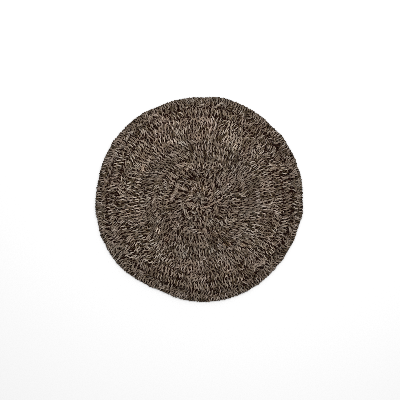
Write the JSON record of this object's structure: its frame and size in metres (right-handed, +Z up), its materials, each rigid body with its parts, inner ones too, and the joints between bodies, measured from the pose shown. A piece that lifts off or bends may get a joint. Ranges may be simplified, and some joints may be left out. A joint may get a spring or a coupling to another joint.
{
  "type": "round seagrass rug",
  "caption": "Round flat floor rug crocheted in rings from twisted seagrass cord, with a rolled, slightly uneven edge.",
  "frame": {"origin": "on the floor under the middle of the rug, in the plane of its underside", "axes": "+Z up out of the rug's upper side, +X to the right and +Y to the top of the picture"},
  "size_m": [1.0048, 0.9908, 0.0165],
  "materials": {
    "seagrass": "matte twisted plant-fibre cord, dark brown with tan and grey strands"
  },
  "bodies": {
    "root": {"rug": "seagrass"}
  },
  "joints": []
}
